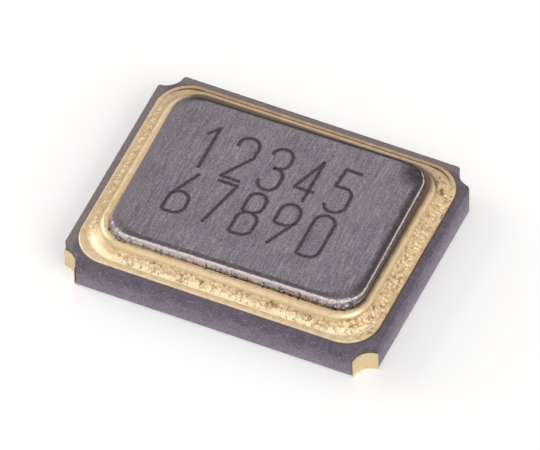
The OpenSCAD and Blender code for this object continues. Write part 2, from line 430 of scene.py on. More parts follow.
def brushedNickel():
    # nickel-plated lid alloy: brushed and close-grained, burnt dark beside its welded rim, with a painted
    # highlight along the rim on the front and right
    look = lidLook
    material, add, shader = newMaterial("brushedNickel")
    across, along = 1000 / look["streakWidth"], 1000 / look["streakLength"]
    points = objectPoints(add)
    streaks = add("TexNoise", {
        "Vector": objectPoints(add, (across, along, along)), "Scale": 1.0, "Roughness": 0.6})
    broad = add("TexNoise", {"Vector": objectPoints(add, (across / 5, along / 3, along)), "Scale": 1.0})
    patch = add("TexNoise", {
        "Vector": points, "Scale": 1 / look["patchSize"], "Detail": 3.0, "Roughness": 0.55})
    grain = add("TexNoise", {"Vector": points, "Scale": 1 / look["grainSize"], "Roughness": 0.7})
    # the burnt track, the painted rim highlight and the foot have ragged borders
    ragged = add("TexNoise", {
        "Vector": points, "Scale": 1 / look["raggedSize"], "Detail": 3.0, "Roughness": 0.65})
    pitted = add("TexNoise", {
        "Vector": objectPoints(add, (1000, 1000, 700), 25), "Scale": 1 / look["pitSize"], "Detail": 3.0,
        "Roughness": 0.6})
    track, calm, rim, foot = [add("Attribute", attribute_name=mask).outputs["Fac"]
                              for mask in ("track", "calm", "rim", "foot")]
    top = boxOf("lid")[1][2]
    for x, y, radius, depth in look["burntSpots"]:
        away = add("VectorMath", [points, (x, y, top)], operation="DISTANCE")
        burn = add("MapRange", [away, radius * 1.4, radius * 0.5, 0.0, depth])
        track = add("Math", [track, burn], operation="MAXIMUM")
    track = add("Math", [track, -0.5], operation="ADD")
    track = add("Math", [ragged, track], operation="ADD")
    # the rim mask is a painted highlight along the front and right edges
    rim = add("Math", [rim, 1.0], operation="ADD")
    rim = add("Math", [ragged, -2.0, rim], operation="MULTIPLY_ADD")
    foot = add("Math", [foot, -2.0], operation="ADD")
    foot = add("Math", [pitted, 4.0, foot], operation="MULTIPLY_ADD")
    raggedCalm = add("MapRange", [ragged, 0.6, 0.4, 0.5, 0.9])
    sideways = add("SeparateXYZ", [points]).outputs["X"]
    color = coated(add, look["color"], [
        (patch, 0.4, 0.65, 1.0, look["violet"]),
        (broad, 0.45, 0.25, 0.3, look["dark"]),
        (streaks, 0.52, 0.75, 0.6, look["pale"]),
        (streaks, 0.48, 0.25, 0.6, look["dark"]),
        (grain, 0.52, 0.75, 0.6, look["pale"]),
        (grain, 0.48, 0.25, 0.7, look["dark"]),
        (calm, 0.0, 1.0, raggedCalm, look["calm"]),
        (sideways, -0.5, -1.2, 0.14, look["dark"]),
        (track, 0.1, 1.0, 0.9, look["track"]),
        (track, 0.9, 1.5, 0.7, look["burnt"]),
        (rim, 0.3, 1.0, 1.0, look["rim"]),
        (foot, 0.6, 1.0, 0.9, look["foot"])])
    uneven = add("Math", [grain, 0.6, streaks], operation="MULTIPLY_ADD")
    brushed = add("Bump", {"Height": uneven, "Distance": look["brushDepth"] * mm, "Strength": 0.8})
    setSockets(shader, {"Base Color": color, "Metallic": 1.0, "Roughness": 0.45, "Normal": brushed})
    return material


oxideLook = {"dark": "#1f191d", "brown": "#433b40", "faded": "#766d74", "burnSize": 0.02222}


def laserOxide():
    # nickel burnt dark by the marking laser: dull brown-black lines with soft uneven borders
    look = oxideLook
    material, add, shader = newMaterial("laserOxide")
    burn = add("TexNoise", {
        "Vector": objectPoints(add), "Scale": 1 / look["burnSize"], "Detail": 3.0, "Roughness": 0.6})
    border = add("Attribute", attribute_name="border").outputs["Fac"]
    fade = add("Math", [border, -0.6], operation="ADD")
    fade = add("Math", [burn, 1.2, fade], operation="MULTIPLY_ADD")
    color = coated(add, look["dark"], [
        (burn, 0.35, 0.7, 1.0, look["brown"]),
        (fade, 0.45, 1.05, 0.95, look["faded"])])
    setSockets(shader, {"Base Color": color, "Roughness": 0.7})
    return material


spatterLook = {"dark": "#65595d", "bright": "#a2969a", "spotSize": 0.02222}


def burntNickel():
    # beads of lid metal that cooled in air: dull, dark and spotted with brighter metal
    look = spatterLook
    material, add, shader = newMaterial("burntNickel")
    spots = add("TexNoise", {"Vector": objectPoints(add), "Scale": 1 / look["spotSize"]})
    color = coated(add, look["dark"], [(spots, 0.38, 0.66, 1.0, look["bright"])])
    setSockets(shader, {"Base Color": color, "Metallic": 1.0, "Roughness": 0.5})
    return material


quartzLook = {"color": "#eef1f2", "frostSize": 0.00833}


def quartzCrystal():
    # lapped quartz: clear, with a faintly frosted face
    look = quartzLook
    material, add, shader = newMaterial("quartzCrystal")
    frost = add("TexNoise", {"Vector": objectPoints(add), "Scale": 1 / look["frostSize"]})
    frosted = add("MapRange", [frost, 0.3, 0.7, 0.15, 0.35])
    setSockets(shader, {
        "Base Color": look["color"], "Transmission Weight": 1.0, "IOR": 1.54, "Roughness": frosted})
    return material


def plainMetal(name, first, second, size, roughness):
    # a film, fill or paste of one metal, mottled between two tones
    material, add, shader = newMaterial(name)
    mottle = add("TexNoise", {"Vector": objectPoints(add), "Scale": 1 / size, "Detail": 3.0})
    color = coated(add, first, [(mottle, 0.35, 0.65, 1.0, second)])
    mottled = add("Bump", {"Height": mottle, "Distance": 0.001 * mm, "Strength": 1.0})
    setSockets(shader, {"Base Color": color, "Metallic": 1.0, "Roughness": roughness, "Normal": mottled})
    return material


alumina = pigmentedAlumina()
# each plating's roughness and its grain's size and height, coarser than real, to show
ringGold = goldPlating("satinGoldPlate", 0.34, 0.05, 0.0015)
brazeGold = goldPlating("goldOverBraze", 0.44, 0.012, 0.002)
bandGold = goldPlating("goldOverPrint", 0.5, 0.02, 0.001)
# the terminals' gold is painted paler than the rest, a painted highlight for their brightly lit plating
paleLitTerminalGold = goldPlating("terminalGoldPaintedPale", 0.45, 0.02, 0.002, "#e2cda6")
nickel = brushedNickel()
oxide = laserOxide()
spatterMetal = burntNickel()
innerFinishes = {  # what the lid hides, by a word in the node's name
    "quartz": quartzCrystal(),
    "electrode": plainMetal("silverFilm", "#d9dadb", "#eeeeed", 0.05, 0.2),
    "glue": plainMetal("silverPaste", "#a5a19a", "#cfccc6", 0.02, 0.6),
    "pad": bandGold,
    "via": plainMetal("sinteredTungsten", "#77746f", "#9a9792", 0.012, 0.55)}
for node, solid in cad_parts.items():
    for word, finish in innerFinishes.items():
        if word in node.split("_"):
            solid.material_slots[0].material = finish
print("materials made")

# the ceramic base's wall stands a little inside its solid, so that no grain passes that
ceramic = {
    "notchRadius": 0.185, "hornRadius": 0.03, "wornHornRadius": 0.055, "hornSteps": 8,
    "cavityWall": 0.52, "cavityRadius": 0.12, "floorThickness": 0.14, "bevel": 0.014, "step": 0.02,
    # rows down the top edge: inset and drop as parts of the bevel, and relief
    "bevelRows": ((1, 0, 0), (0.6, 0.15, 0.5), (0.2, 0.55, 1)), "wallInset": 0.002,
    "footInset": 0.008, "footRise": 0.002, "footRelief": 0.6, "holeSteps": 32,
    "cutAbove": 0.1, "cutInside": 0.02, "cutBelow": 0.05,
    "swell": (0.12, 0.0012), "grain": (0.05, 0.001), "fine": (0.03, 0.0012), "seed": 3.0}


def notchedCorner(inset, before, after):
    # a corner at the origin, bitten out by a quarter round whose two ends are worn to their own radii
    notch, hornSteps = ceramic["notchRadius"], ceramic["hornSteps"]
    turns = [math.degrees(math.asin(horn / (notch + horn))) for horn in (before, after)]
    reaches = [(notch + horn) * math.cos(math.radians(turn)) for horn, turn in zip((before, after), turns)]
    corner = arcPoints((-before, -reaches[0]), before - inset, 0, 90 - turns[0], hornSteps)
    corner += arcPoints((0, 0), notch + inset, 270 - turns[0], 180 + turns[1], plainSteps["corner"])[1:-1]
    return corner + arcPoints((-reaches[1], -after), after - inset, turns[1], 90, hornSteps)


def notchedLoop(inset, height):
    # at the back right corner the horn on the right side is worn rounder than the others
    horn = ceramic["hornRadius"]
    corners = []
    for quarter, (x, y) in enumerate(cornerSpots(sidesOf("ceramic_base"))):
        corner = notchedCorner(inset, ceramic["wornHornRadius"] if quarter == 1 else horn, horn)
        spin = Matrix.Rotation(math.radians(90 * quarter - 90), 3, "Z")
        corners.append([Vector((x, y, height)) + spin @ point for point in corner])
    return joinedCorners(corners, plainSteps)


def makeCavityCutter():
    low, high = boxOf("ceramic_base")
    opening = insetSides(sidesOf("ceramic_base"), ceramic["cavityWall"])
    outline = roundedLoop(opening, ceramic["cavityRadius"], 0, plainSteps)
    floor = low[2] + ceramic["floorThickness"]
    return prismMesh("cavityCutter", outline, floor, high[2] + ceramic["cutAbove"])


def makeHoleCutter(node):
    low, high = boxOf(node)
    centre, radius = ((low[0] + high[0]) / 2, (low[1] + high[1]) / 2), (high[0] - low[0]) / 2
    outline = arcPoints(centre, radius, 0, 360, ceramic["holeSteps"])[:-1]
    # some holes end in the cavity, the others go through the wall
    through = high[2] > ceramic["floorThickness"] * 1.5
    over = ceramic["cutAbove" if through else "cutInside"]
    return prismMesh("holeCutter", outline, low[2] - ceramic["cutBelow"], high[2] + over)


def makeCeramicBody():
    low, high = boxOf("ceramic_base")
    bottom, top, bevel = low[2], high[2], ceramic["bevel"]
    wall = top - bevel - bottom
    count = round(wall / ceramic["step"])
    footInset, footRise = ceramic["footInset"], ceramic["footRise"]
    # rows down the outside: inset, height and relief
    rows = [(bevel * inset, top - bevel * drop, relief) for inset, drop, relief in ceramic["bevelRows"]]
    rows += [(ceramic["wallInset"], top - bevel - wall * i / count, 1) for i in range(count)]
    rows += [(footInset / 2, bottom + footRise, ceramic["footRelief"]), (footInset, bottom, 0)]
    loops = [notchedLoop(inset, height) for inset, height, relief in rows]
    relief = [relief for inset, height, relief in rows for point in loops[0]]
    mesh = loftMesh("ceramicBody", loops, True, {"relief": relief})
    holes = [makeHoleCutter(node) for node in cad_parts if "_via_" in node]
    return combined(roughened("ceramicBody", mesh, ceramic, alumina), "DIFFERENCE",
                    [makeCavityCutter()] + holes)


ceramicBody = place(makeCeramicBody(), "ceramic_base", "alumina")

# what is given for sides is for the left, right, front and back
ring = {
    "wall": 0.25, "radius": 0.33, "pathSteps": 24, "spacing": 0.012, "innerBevel": 0.01,
    "coveredDrop": 0.001, "coveredTo": 0.13, "ledge": 0.1, "topGap": 0.0002,
    # faint rolled lines run along the bare ledge
    "lines": (0, -0.4, -1.2, -1.6, -1.2, -0.3, 0, -0.2, -0.9, -0.4, 0),
    "lineDepth": 0.001, "lineShade": 0.55,
    # the shoulder's thick value paints a paler highlight on it
    "shoulderWidth": 0.05, "shoulderHeight": 0.042, "shoulderEnd": 58, "shoulderPaintedSheen": 0.1,
    "shoulderShade": (0, -0.1, -0.4, -0.4, -0.1, 0, 0, 0, -0.2, -0.3, -0.5, -0.6),
    # the brown beside the lid, by depth and width on each side, is heat tint with painted shade of the lid's
    # wall
    "burntDepth": (0.05, 1.05, 0.6, 1.0), "burntWidth": (0.05, 0.052, 0.02, 0.12)}
band = {
    "radius": 0.34, "covered": 0.16, "edge": 0.022, "edgeDrop": 0.8,
    "insets": (0.14, 0.12, 0.105, 0.09, 0.075, 0.065, 0.055, 0.045, 0.035, 0.028),
    # rows round the printed edge: the part of its width that is left, and how much painted contact shade it
    # has
    "edgeRows": ((1.0, 0), (0.75, 0), (0.5, 0.4), (0.3, 1), (0.15, 1), (0.05, 1), (0.0, 1)),
    # the pale mask by side is a painted highlight, strongest on the front
    "roughSides": (0.35, 1.0, 0.4, 0.2), "paintedSheenSides": (0.1, 0.1, 0.7, 0.0),
    # a painted contact shade darkens the printed edge, and a painted crease shade the line where the fillet
    # meets the band, mostly behind
    "edgeContactShade": (0.0, 0.7, 0.2, 0.2), "stainSides": (0.22, 0.1, 0.25, 0.42),
    "toeCreaseShade": (0.3, 0.1, 0.0, 1.0), "toeInset": (0.035, 0.06),
    "swell": (0.09, 0.0012), "grain": (0.033, 0.003), "fine": (0.015, 0.001), "seed": 5.0}
fillet = {
    "top": 0.4363, "tuck": 0.008, "tuckDrop": 0.004, "lift": 0.002, "start": -0.004, "rows": 30,
    "foot": (0.11, 0.125, 0.095, 0.1), "footRadius": 0.4, "curve": 1.7,
    "roughSides": (0.62, 1.0, 1.1, 0.35), "roughCorners": (0.1, 0.55, 0.1, 0.0),
    "smoothTop": (0.05, 0.0, 0.03, 0.2), "topFade": 0.12, "footFade": 0.25, "footRelief": 0.2,
    "calmCorner": (-1.35, -1.15), "calmRadius": 0.2, "calmFade": 0.12,
    # the pale mask by side and down the fillet is a painted highlight, strongest at the front toe
    "paintedSheenSides": (0.15, 0.1, 0.9, 0.1), "paintedSheenKeys": ((0.35, 0), (0.7, 1), (1, 0.8)),
    # a painted crease shade darkens the top of the fillet under the ring, by side, by corner and down part
    # of its width
    "creaseShadeSides": (0.2, 0.25, 0.22, 0.4), "creaseShadeCorners": (0.3, 0.7, 0.3, 0.0), "creaseShadeWidth": 0.4,
    "stainSides": (0.32, 0.1, 0.0, 0.3),
    "swell": (0.11, 0.003), "grain": (0.031, 0.0062), "fine": (0.015, 0.0044), "seed": 7.0}


def makeGoldBand():
    low, high = boxOf("seal_band")
    bottom, top = low[2], high[2]
    sides, radius, edge = sidesOf("seal_band"), band["radius"], band["edge"]
    # rows from the part that the ring covers to the foot: inset, height, relief and darkness
    outer = [(band["covered"], top, 0, 0)] + [(inset, top, 1, 0) for inset in band["insets"]]
    for part, dark in band["edgeRows"]:
        drop = (top - bottom) * (1 - math.sqrt(1 - (1 - part) ** 2)) * band["edgeDrop"]
        outer.append((edge * part, top - drop, part, dark))
    outer.append((0, bottom, 0, 1))
    opening = insetSides(sidesOf("seal_ring"), ring["wall"])
    rows = [(opening, ceramic["cavityRadius"], height, 0, 0) for height in (bottom, top)]
    rows += [(insetSides(sides, row[0]), radius - row[0], *row[1:]) for row in outer]
    toeStart, toeEnd = band["toeInset"]
    normals, masks = outwardNormals(), {"relief": [], "burnt": [], "thick": []}
    for loopSides, turn, height, relief, dark in rows:
        toe = toeStart < sides[1] - loopSides[1] < toeEnd
        for normal in normals:
            masks["relief"].append(relief * bySide(normal, band["roughSides"]))
            # the burnt mask here carries painted contact shade, painted crease shade and stains
            masks["burnt"].append(max(dark * bySide(normal, band["edgeContactShade"]),
                                      toe * bySide(normal, band["toeCreaseShade"]),
                                      bySide(normal, band["stainSides"])))
            masks["thick"].append(bySide(normal, band["paintedSheenSides"]))
    loops = [roundedLoop(loopSides, turn, height) for loopSides, turn, height, relief, dark in rows]
    return roughened("goldBand", loftMesh("goldBand", loops, False, masks), band, bandGold)


def makeBrazeFillet():
    sides, ringBottom = sidesOf("seal_ring"), boxOf("seal_ring")[0][2]
    wall, radius, foot = ring["wall"], ring["radius"], boxOf("braze_joint")[0][2]
    tuck, start, rows = fillet["tuck"], fillet["start"], fillet["rows"]
    # under the ring and up behind its wall
    hidden = [(wall, foot), (wall, ringBottom), (tuck, ringBottom),
              (tuck, fillet["top"] - fillet["tuckDrop"])]
    loops = [roundedLoop(insetSides(sides, inset), radius - inset, height) for inset, height in hidden]
    normals = outwardNormals()
    relief, thick, burnt = [[0] * (len(hidden) * len(normals)) for mask in range(3)]
    lowest = foot + fillet["lift"]
    tall = fillet["top"] - lowest
    calm = Vector(fillet["calmCorner"])
    for row in range(rows + 1):
        # a hollow curve from the ring's wall down to its own width on each side
        part = row / rows
        rise = tall * (1 - part) ** fillet["curve"]
        grown = radius + (fillet["footRadius"] - radius) * part
        reach = [-start - (width - start) * part for width in fillet["foot"]]
        loops.append(roundedLoop(insetSides(sides, reach), grown, lowest + rise))
        # a painted highlight, paler towards the toe
        thickness = between(fillet["paintedSheenKeys"], part)
        for point, normal in zip(loops[-1], normals):
            fade = max(0, (part - bySide(normal, fillet["smoothTop"])) / fillet["topFade"])
            rough = fillet["footRelief"] * bySide(normal, band["roughSides"])
            fade = min(1, fade, rough + (1 - part) / fillet["footFade"])
            away = ((point.xy - calm).length - fillet["calmRadius"]) / fillet["calmFade"]
            rough = bySide(normal, fillet["roughSides"]) + byCorner(normal, fillet["roughCorners"])
            relief.append(fade * min(1, max(0, away)) * rough)
            thick.append(thickness * bySide(normal, fillet["paintedSheenSides"]))
            # painted crease shade under the ring, with stains, goes into the burnt mask
            creaseShade = bySide(normal, fillet["creaseShadeSides"]) + byCorner(normal, fillet["creaseShadeCorners"])
            creaseShade *= max(0, 1 - part / fillet["creaseShadeWidth"])
            burnt.append(max(creaseShade, bySide(normal, fillet["stainSides"])))
    reach = [-width for width in fillet["foot"]]
    loops.append(roundedLoop(insetSides(sides, reach), fillet["footRadius"], foot))
    masks = {"relief": relief, "thick": thick, "burnt": burnt}
    masks = {name: values + [0] * len(normals) for name, values in masks.items()}
    return roughened("brazeFillet", loftMesh("brazeFillet", loops, False, masks), fillet, brazeGold)


def roundedPath(add, given, steps):
    path = add("GeometryNodeCurvePrimitiveQuadrilateral", [given["Length"], given["Width"]])
    return add("GeometryNodeFilletCurve", {"Curve": path, "Count": steps, "Radius": given["Corner Radius"]},
               mode="POLY")


def levelPath(add, given, path):
    # evenly stepped, and level across its width
    path = add("GeometryNodeResampleCurve", {"Curve": path, "Length": given["Spacing"]}, mode="LENGTH")
    return add("GeometryNodeSetCurveNormal", {"Curve": path}, mode="Z_UP")


ringSides = ("Left", "Right", "Front", "Back")


def makeSweepTree():
    # carries a closed section round a rounded rectangle and browns it beside the lid, side by side: heat
    # tint, with painted shade of the lid's wall
    burns = [side + burn for burn in (" Burnt Depth", " Burnt Width") for side in ringSides]
    tree, add, given = newTree("frameSweep", {
        **dict.fromkeys(("Length", "Width", "Corner Radius", "Spacing", *burns), "Float"),
        "Section": "Object", "Finish": "Material"})
    path = levelPath(add, given, roundedPath(add, given, ring["pathSteps"]))
    along = add("SeparateXYZ", [add("GeometryNodeInputTangent")]).outputs["X"]
    spot = add("SeparateXYZ", [add("GeometryNodeInputPosition")]).outputs
    onRight = add("Math", [spot["X"], 0.0], operation="GREATER_THAN")
    onBack = add("Math", [spot["Y"], 0.0], operation="GREATER_THAN")
    onEnd = add("Math", [along, along], operation="MULTIPLY")
    for burn in ("Burnt Depth", "Burnt Width"):
        flank = add("Mix", [onRight, given["Left " + burn], given["Right " + burn]])
        end = add("Mix", [onBack, given["Front " + burn], given["Back " + burn]])
        value = add("Mix", [onEnd, flank, end])
        path = add("GeometryNodeStoreNamedAttribute", {"Geometry": path, "Name": burn, "Value": value})
    section = add("GeometryNodeObjectInfo", {"Object": given["Section"]}).outputs["Geometry"]
    section = add("GeometryNodeMeshToCurve", {"Mesh": section})
    swept = add("GeometryNodeCurveToMesh", {"Curve": path, "Profile Curve": section})
    fromLid, depth, width = [add("GeometryNodeInputNamedAttribute", {"Name": name})
                             for name in ("fromLid", "Burnt Depth", "Burnt Width")]
    outside = add("Math", [width, 1.6], operation="MULTIPLY")
    inside = add("Math", [width, 0.4], operation="MULTIPLY")
    heat = add("MapRange", [fromLid, outside, inside, 0.0, depth])
    swept = add("GeometryNodeStoreNamedAttribute", {"Geometry": swept, "Name": "burnt", "Value": heat})
    finishTree(add, swept, given["Finish"])
    return tree


def makeRingSection():
    # drawn from the cavity's side up, out along the top and down the shoulder
    low, high = boxOf("seal_ring")
    bottom, top = low[2], high[2]
    wall, bevel, ledge = ring["wall"], ring["innerBevel"], ring["ledge"]
    wide, tall, lines = ring["shoulderWidth"], ring["shoulderHeight"], ring["lines"]
    covered = top - ring["coveredDrop"]
    points = [(-wall, bottom), (-wall, top - bevel), (bevel - wall, covered), (-ring["coveredTo"], covered)]
    lump = [0] * len(points) + [line * ring["lineShade"] for line in lines]
    top -= ring["topGap"]
    points += [(-ledge + (ledge - wide) * i / (len(lines) - 1), top + line * ring["lineDepth"])
               for i, line in enumerate(lines)]
    end, steps = math.radians(ring["shoulderEnd"]), len(ring["shoulderShade"])
    for step in range(1, steps + 1):
        angle = end * step / steps
        points.append((-wide + wide * math.sin(angle) / math.sin(end),
                       top - tall * (1 - math.cos(angle)) / (1 - math.cos(end))))
    points.append((0, bottom))
    count = len(points)
    mesh = bpy.data.meshes.new("ringSection")
    mesh.from_pydata([Vector((x, -height, 0)) * mm for x, height in points],
                     [(i, (i + 1) % count) for i in range(count)], [])
    # the underside counts as a metre from the lid, and isn't browned
    addMask(mesh, "fromLid", [max(0, x + ledge) * mm if height > bottom else 1 for x, height in points])
    # the thick mask paints a paler highlight on the shoulder
    addMask(mesh, "thick", [ring["shoulderPaintedSheen"] if x > -0.9 * wide else 0 for x, height in points])
    addMask(mesh, "lump", lump + [*ring["shoulderShade"], 0])
    return addObject("ringSection", mesh)


def makeSealRing():
    left, right, front, back = sidesOf("seal_ring")
    section = makeRingSection()
    values = {"Length": (right - left) * mm, "Width": (back - front) * mm, "Section": section,
              "Corner Radius": ring["radius"] * mm, "Spacing": ring["spacing"] * mm,
              "Finish": ringGold}
    for side, depth, width in zip(ringSides, ring["burntDepth"], ring["burntWidth"]):
        values[side + " Burnt Depth"], values[side + " Burnt Width"] = depth, width * mm
    made = runTree("sealRing", makeSweepTree(), values)
    bpy.data.objects.remove(section)
    return recalculated(made)


goldBand = place(makeGoldBand(), "seal_band", "gold_plate")
brazeFillet = place(makeBrazeFillet(), "braze_joint", "gilt_braze")
sealRing = place(makeSealRing(), "seal_ring", "gold_plate")

# the lid's rows go by the part of the way from its flat face to its edge; past 1 is down the wall
lid = {
    "ledge": 0.1, "turn": 1.0, "radii": (0.27, 0.225, 0.225, 0.225), "faceRadii": (0.36, 0.3, 0.3, 0.3),
    "faceInset": (0.08, 0.079, 0.077, 0.05), "faceDrop": 0.001, "trackDip": 0.013, "edgeStart": 0.76,
    "edgeHeight": 0.03, "flare": 0.16, "faceRow": -0.3, "topStart": -0.1, "topRows": 24, "wallRows": 10,
    "swell": (0.1, 0.0006), "grain": (0.035, 0.0016), "fine": (0.016, 0.0006), "seed": 11.0}
# bands along the lid's edge: what each is, how much of it is on each side, and its key points
lidBands = (
    ("dip", (0.1, 1.0, 1.0, 0.6), ((0.0, 0), (0.35, 1), (0.55, 1), (0.76, 0.72), (1.0, 0.72))),
    ("relief", (0.6, 0.8, 1.0, 0.6),
     ((-0.1, 0), (0.3, 0.5), (0.7, 0.8), (0.95, 1.8), (1.5, 1.8), (2.0, 0.3))),
    ("track", (0.0, 0.0, 0.85, 0.0), ((-0.05, 0), (0.2, 1), (0.45, 1), (0.68, 0), (1.0, 0))),
    ("track", (0.0, 1.15, 0.0, 0.0), ((-0.35, 0), (0.5, 1), (0.8, 1), (0.9, 0), (1.0, 0))),
    ("track", (0.0, 0.0, 0.0, 1.4), ((0.1, 0), (0.6, 1), (1.1, 1), (1.3, 0))),
    # the rim bands are a painted highlight on the front and right edges
    ("rim", (0.0, 0.0, 1.0, 0.0), ((0.66, 0), (0.8, 1), (1.3, 1), (1.75, 0.5), (2.0, 0.2))),
    ("rim", (0.0, 1.0, 0.0, 0.0), ((0.84, 0), (0.92, 1), (1.0, 1), (1.06, 0))),
    ("calm", (1.0, 0.0, 0.0, 0.3), ((-0.1, 0), (0.25, 1), (1.0, 1))),
    ("foot", (0.0, 0.0, 0.66, 0.0), ((1.35, 0), (1.7, 1), (2.0, 1))),
    ("foot", (0.6, 0.9, 0.0, 0.9), ((1.0, 0), (1.15, 1), (2.0, 1))))


def makeLidPlate():
    low, high = boxOf("lid")
    bottom, top = low[2], high[2] - lid["faceDrop"]
    sides = insetSides(sidesOf("seal_ring"), lid["ledge"])
    turned = Matrix.Rotation(math.radians(lid["turn"]), 3, "Z")
    normals = outwardNormals()
    start, topRows, wallRows = lid["topStart"], lid["topRows"], lid["wallRows"]
    parts = [lid["faceRow"]] + [start + (1 - start) * i / topRows for i in range(topRows + 1)]
    parts += [1 + (i + 1) / wallRows for i in range(wallRows)]
    loops, masks = [], {"relief": [], "track": [], "rim": [], "foot": [], "calm": []}
    for part in parts:
        # past the edge the wall goes down and flares into the weld
        over, down = min(part, 1), max(part - 1, 0)
        inward = 1 - over - lid["flare"] * down ** 2
        radii = [face + (edge - face) * over for face, edge in zip(lid["faceRadii"], lid["radii"])]
        insets = [inset * inward for inset in lid["faceInset"]]
        loop = roundedLoop(insetSides(sides, insets), radii, 0)
        bend = max(0, (over - lid["edgeStart"]) / (1 - lid["edgeStart"]))
        edgeDrop = lid["edgeHeight"] * (1 - math.sqrt(1 - bend ** 2))
        bands = [(name, between(keys, part), weights) for name, weights, keys in lidBands]
        for point, normal in zip(loop, normals):
            here = dict.fromkeys(["dip", *masks], 0)
            for name, value, weights in bands:
                here[name] = max(here[name], value * bySide(normal, weights))
            height = top - edgeDrop - lid["trackDip"] * here["dip"]
            point.z = height + (bottom - height) * down
            for name, values in masks.items():
                values.append(here[name])
        loops.append([turned @ point for point in loop])
    return roughened("lidPlate", loftMesh("lidPlate", loops, True, masks), lid, nickel)


lidPlate = place(makeLidPlate(), "lid", "lid_metal")

# beads of lid metal thrown up along the lid's foot
spatter = {
    "spacing": 0.03, "beadSize": 0.016, "jitter": 0.012, "rise": 0.01, "outward": 0.006, "pathSteps": 12,
    # the share of places that hold a bead, in front of a line at this part of the width and elsewhere
    "frontShare": 0.65, "otherShare": 0.0, "frontLine": -0.45, "seed": 4,
    # the least and the most of each draw
    "shift": ((-1, -1, -0.7), (1, 1, 1)), "size": ((0.5, 0.5, 0.4), (1.5, 1.2, 1.1)),
    "spin": ((0, 0, 0), (0.6, 0.6, 6.28))}


def makeSpatterTree():
    tree, add, given = newTree("weldSpatter", {
        **dict.fromkeys(("Length", "Width", "Corner Radius", "Spacing", "Bead Size", "Jitter"), "Float"),
        "Front Share": "Float", "Other Share": "Float", "Seed": "Int", "Finish": "Material"})
    path = roundedPath(add, given, spatter["pathSteps"])
    spots = add("GeometryNodeCurveToPoints", {"Curve": path, "Length": given["Spacing"]}, mode="LENGTH")
    across = add("SeparateXYZ", [add("GeometryNodeInputPosition")]).outputs["Y"]
    line = add("Math", [given["Width"], spatter["frontLine"]], operation="MULTIPLY")
    front = add("Math", [across, line], operation="LESS_THAN")
    share = add("Mix", [front, given["Other Share"], given["Front Share"]])
    chance = add("FunctionNodeRandomValue", {"Seed": given["Seed"]})
    bare = add("Math", [chance, share], operation="GREATER_THAN")
    spots = add("GeometryNodeDeleteGeometry", {"Geometry": spots, "Selection": bare})
    drawn = {}
    for step, name in enumerate(("shift", "size", "spin"), 1):
        least, most = spatter[name]
        seed = add("Math", [given["Seed"], float(step)], operation="ADD")
        drawn[name] = add("FunctionNodeRandomValue", {"Min": least, "Max": most, "Seed": seed},
                          data_type="FLOAT_VECTOR")
    shift = add("VectorMath", [drawn["shift"], given["Jitter"]], operation="SCALE")
    size = add("VectorMath", [drawn["size"], given["Bead Size"]], operation="SCALE")
    spots = add("GeometryNodeSetPosition", {"Geometry": spots, "Offset": shift})
    bead = add("GeometryNodeMeshUVSphere", {"Segments": 8, "Rings": 5, "Radius": 1.0})
    beads = add("GeometryNodeInstanceOnPoints", {
        "Points": spots, "Instance": bead, "Scale": size, "Rotation": drawn["spin"]})
    finishTree(add, beads, given["Finish"])
    return tree


def makeWeldSpatter():
    outward = lid["ledge"] - spatter["outward"]
    left, right, front, back = insetSides(sidesOf("seal_ring"), outward)
    made = runTree("weldSpatter", makeSpatterTree(), {
        "Length": (right - left) * mm, "Width": (back - front) * mm, "Corner Radius": lid["radii"][1] * mm,
        "Spacing": spatter["spacing"] * mm, "Bead Size": spatter["beadSize"] * mm,
        "Jitter": spatter["jitter"] * mm, "Front Share": spatter["frontShare"],
        "Other Share": spatter["otherShare"], "Seed": spatter["seed"], "Finish": spatterMetal})
    lift = Matrix.Translation((0, 0, (boxOf("lid")[0][2] + spatter["rise"]) * mm))
    made.data.transform(lift @ Matrix.Rotation(math.radians(lid["turn"]), 4, "Z"))
    return made


weldSpatter = place(makeWeldSpatter(), None, "lid_metal")

# the laser marks are two rows of plain digits
marks = {
    "rows": ("12345", "67890"), "rowsY": (0.082, -0.508), "firstX": -0.76, "pitch": 0.343, "width": 0.2,
    "height": 0.53, "rounding": 0.1, "stroke": 0.045, "thickness": 0.0016, "spacing": 0.007,
    "wobble": 0.008, "wobbleSize": 0.03333, "unevenSize": 0.02222, "turnSteps": 10, "ringSteps": 12}


def boxStroke(left, right, bottom, top):
    return [(left, bottom, 1), (right, bottom, 1), (right, top, 1), (left, top, 1), (left, bottom, 1)]


# each stroke is a list of points in the digit's own box, with how far each corner is rounded
digitStrokes = {
    "1": [[(0.12, 0.78, 0), (0.55, 1, 0), (0.55, 0, 0)]],
    "2": [[(0, 0.74, 0), (0, 1, 1), (1, 1, 1), (1, 0.58, 0.8), (0, 0, 0), (1, 0, 0)]],
    "3": [[(0, 0.8, 0), (0, 1, 1), (1, 1, 1), (1, 0.53, 1), (0.35, 0.53, 0)],
          [(0.35, 0.53, 0), (1, 0.53, 1), (1, 0, 1), (0, 0, 1), (0, 0.2, 0)]],
    "4": [[(0.72, 0, 0), (0.72, 1, 0), (0, 0.28, 0), (1, 0.28, 0)]],
    "5": [[(0.95, 1, 0), (0.1, 1, 0), (0.05, 0.58, 0), (1, 0.6, 1), (1, 0, 1), (0, 0, 1), (0, 0.15, 0)]],
    "6": [boxStroke(0, 1, 0, 0.5), [(0.8, 1, 0), (0.02, 0.36, 0)]],
    "7": [[(0, 1, 0), (1, 1, 0), (0.35, 0, 0)]],
    "8": [boxStroke(0, 1, 0, 0.53), boxStroke(0.05, 0.95, 0.53, 1)],
    "9": [boxStroke(0, 1, 0.5, 1), [(0.2, 0, 0), (0.98, 0.64, 0)]],
    "0": [boxStroke(0, 1, 0, 1)]}


